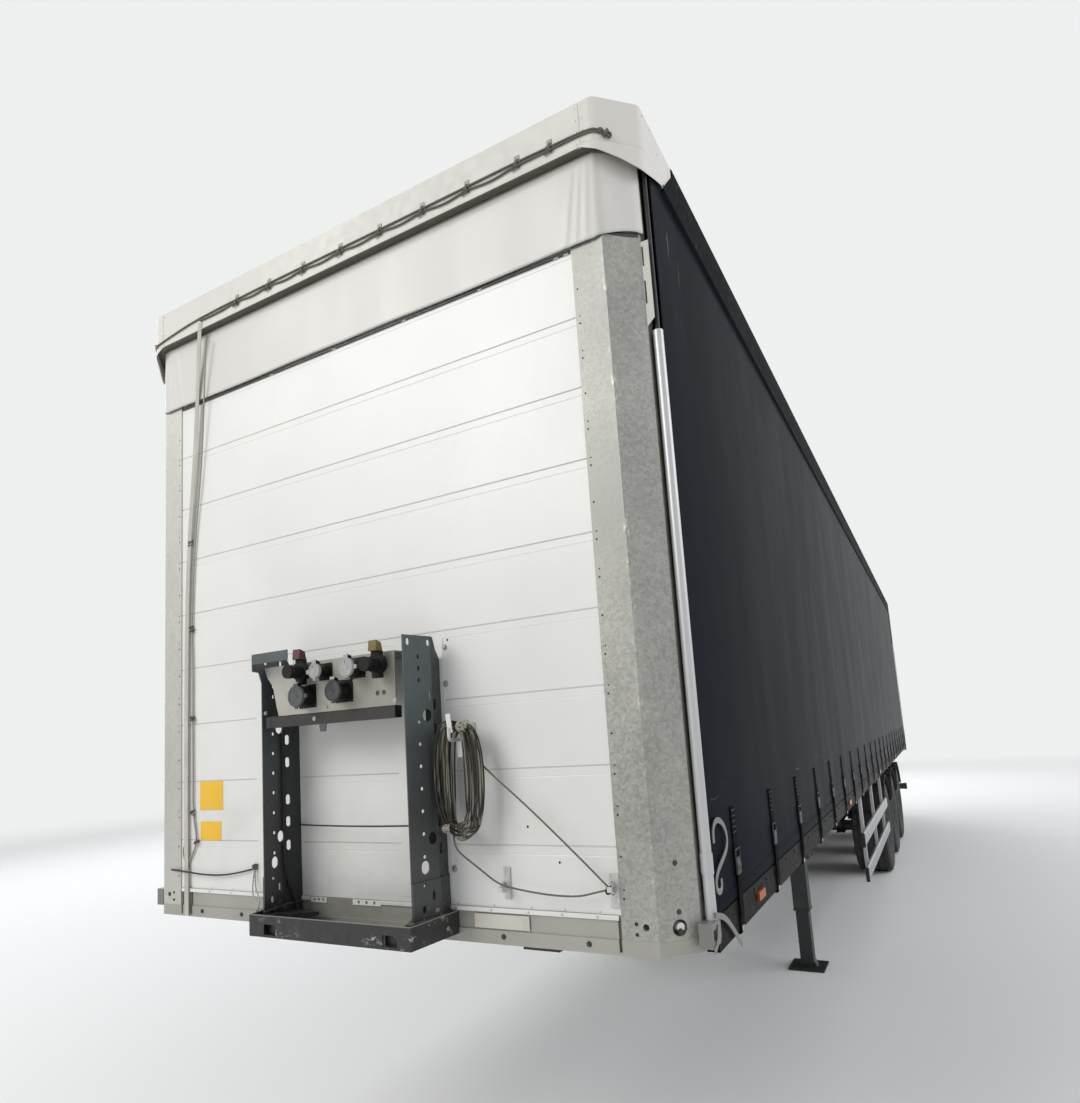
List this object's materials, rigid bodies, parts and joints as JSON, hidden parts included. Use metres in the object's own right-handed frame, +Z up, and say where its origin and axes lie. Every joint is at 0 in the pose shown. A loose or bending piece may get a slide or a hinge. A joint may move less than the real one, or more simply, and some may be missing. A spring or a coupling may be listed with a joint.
{
  "type": "semi trailer",
  "caption": "Three-axle curtain-sided semi trailer with plank front wall, connection console, kingpin, landing legs and hinged rear doors.",
  "frame": {"origin": "on the ground under the middle of the trailer's overall length and width", "axes": "+X forward towards the tractor, +Y to the trailer's left, +Z up"},
  "size_m": [13.9813, 2.55, 4],
  "materials": {
    "white_plank": "semi-gloss white lacquered aluminium plank",
    "galvanised": "spangled hot-dip galvanised steel",
    "beam_steel": "dull galvanised steel, slightly beige",
    "cream_tarpaulin": "coated cream tarpaulin",
    "cream_cap": "satin cream moulded cap",
    "floor_board": "film-faced birch plywood",
    "dark_steel": "satin dark grey coating",
    "rail_paint": "gloss black-green paint",
    "roof_tarpaulin": "coated tarpaulin",
    "curtain_tarpaulin": "glossy anthracite PVC tarpaulin",
    "strap_webbing": "black polyester webbing",
    "bright_tube": "bright drawn tube",
    "zinc_fitting": "zinc-plated fitting",
    "bare_steel": "greased machined steel",
    "black_plastic": "matt black polyethylene",
    "guard_aluminium": "anodised profile",
    "red_lens": "moulded red lens",
    "console_paint": "satin dark slate coating, scuffed",
    "amber_lens": "moulded amber lens",
    "coupling_black": "black coated casting",
    "red_plastic": "dull red plastic guard",
    "yellow_plastic": "dull yellow plastic guard",
    "cap_grey": "weathered grey plastic lid",
    "beige_cord": "sheathed tarpaulin cord, grey-beige",
    "beige_webbing": "weathered woven webbing",
    "dark_cord": "black sheathed cord",
    "tyre": "black rubber",
    "wheel_steel": "silver coated steel disc wheel"
  },
  "bodies": {
    "trailer": {"air_couplings": "coupling_black", "air_tanks": "dark_steel", "axles": "dark_steel", "cable_coil": "dark_cord", "cap_cord": "beige_cord", "console_frame": "console_paint", "console_panel": "beam_steel", "corner_cord": "dark_cord", "coupling_plate": "dark_steel", "cross_members": "dark_steel", "curtain_straps": "strap_webbing", "curtain_tubes": "bright_tube", "curtains": "curtain_tarpaulin", "floor": "floor_board", "front_beam": "beam_steel", "front_fascia": "cream_tarpaulin", "front_fittings": "zinc_fitting", "front_posts": "galvanised", "front_wall_planks": "white_plank", "kingpin": "bare_steel", "landing_legs": "dark_steel", "main_beams": "dark_steel", "mudguards": "black_plastic", "rear_bumper": "dark_steel", "rear_lamps": "red_lens", "rear_portal": "galvanised", "red_knob": "red_plastic", "roof_bows": "guard_aluminium", "roof_cap": "cream_cap", "roof_rails": "rail_paint", "roof_sheet": "roof_tarpaulin", "rubber_cords": "dark_cord", "side_guards": "guard_aluminium", "side_lamps": "amber_lens", "side_raves": "dark_steel", "socket_caps": "cap_grey", "sockets": "coupling_black", "suspension": "dark_steel", "tie_rope": "dark_cord", "tie_strap": "beige_webbing", "yellow_knob": "yellow_plastic"},
    "rear_door_left": {"rear_door_left": "white_plank", "door_gear_left": "zinc_fitting"},
    "wheel_1_left": {"tyre_1_left": "tyre", "wheel_1_left": "wheel_steel"},
    "wheel_2_left": {"tyre_2_left": "tyre", "wheel_2_left": "wheel_steel"},
    "wheel_3_left": {"tyre_3_left": "tyre", "wheel_3_left": "wheel_steel"},
    "rear_door_right": {"rear_door_right": "white_plank", "door_gear_right": "zinc_fitting"},
    "wheel_1_right": {"tyre_1_right": "tyre", "wheel_1_right": "wheel_steel"},
    "wheel_2_right": {"tyre_2_right": "tyre", "wheel_2_right": "wheel_steel"},
    "wheel_3_right": {"tyre_3_right": "tyre", "wheel_3_right": "wheel_steel"}
  },
  "joints": [
    {"name": "rear_door_left_hinge", "type": "hinge", "parent": "trailer", "child": "rear_door_left", "pos_m": [-6.955, 1.261, 2.6], "axis": [0, 0, -1], "range_deg": [0, 270]},
    {"name": "wheel_1_left_spin", "type": "hinge", "parent": "trailer", "child": "wheel_1_left", "pos_m": [-1.257, 1.02, 0.536], "axis": [0, 1, 0], "continuous": true},
    {"name": "wheel_2_left_spin", "type": "hinge", "parent": "trailer", "child": "wheel_2_left", "pos_m": [-2.567, 1.02, 0.536], "axis": [0, 1, 0], "continuous": true},
    {"name": "wheel_3_left_spin", "type": "hinge", "parent": "trailer", "child": "wheel_3_left", "pos_m": [-3.877, 1.02, 0.536], "axis": [0, 1, 0], "continuous": true},
    {"name": "rear_door_right_hinge", "type": "hinge", "parent": "trailer", "child": "rear_door_right", "pos_m": [-6.955, -1.261, 2.6], "axis": [0, 0, 1], "range_deg": [0, 270]},
    {"name": "wheel_1_right_spin", "type": "hinge", "parent": "trailer", "child": "wheel_1_right", "pos_m": [-1.257, -1.02, 0.536], "axis": [0, 1, 0], "continuous": true},
    {"name": "wheel_2_right_spin", "type": "hinge", "parent": "trailer", "child": "wheel_2_right", "pos_m": [-2.567, -1.02, 0.536], "axis": [0, 1, 0], "continuous": true},
    {"name": "wheel_3_right_spin", "type": "hinge", "parent": "trailer", "child": "wheel_3_right", "pos_m": [-3.877, -1.02, 0.536], "axis": [0, 1, 0], "continuous": true}
  ]
}
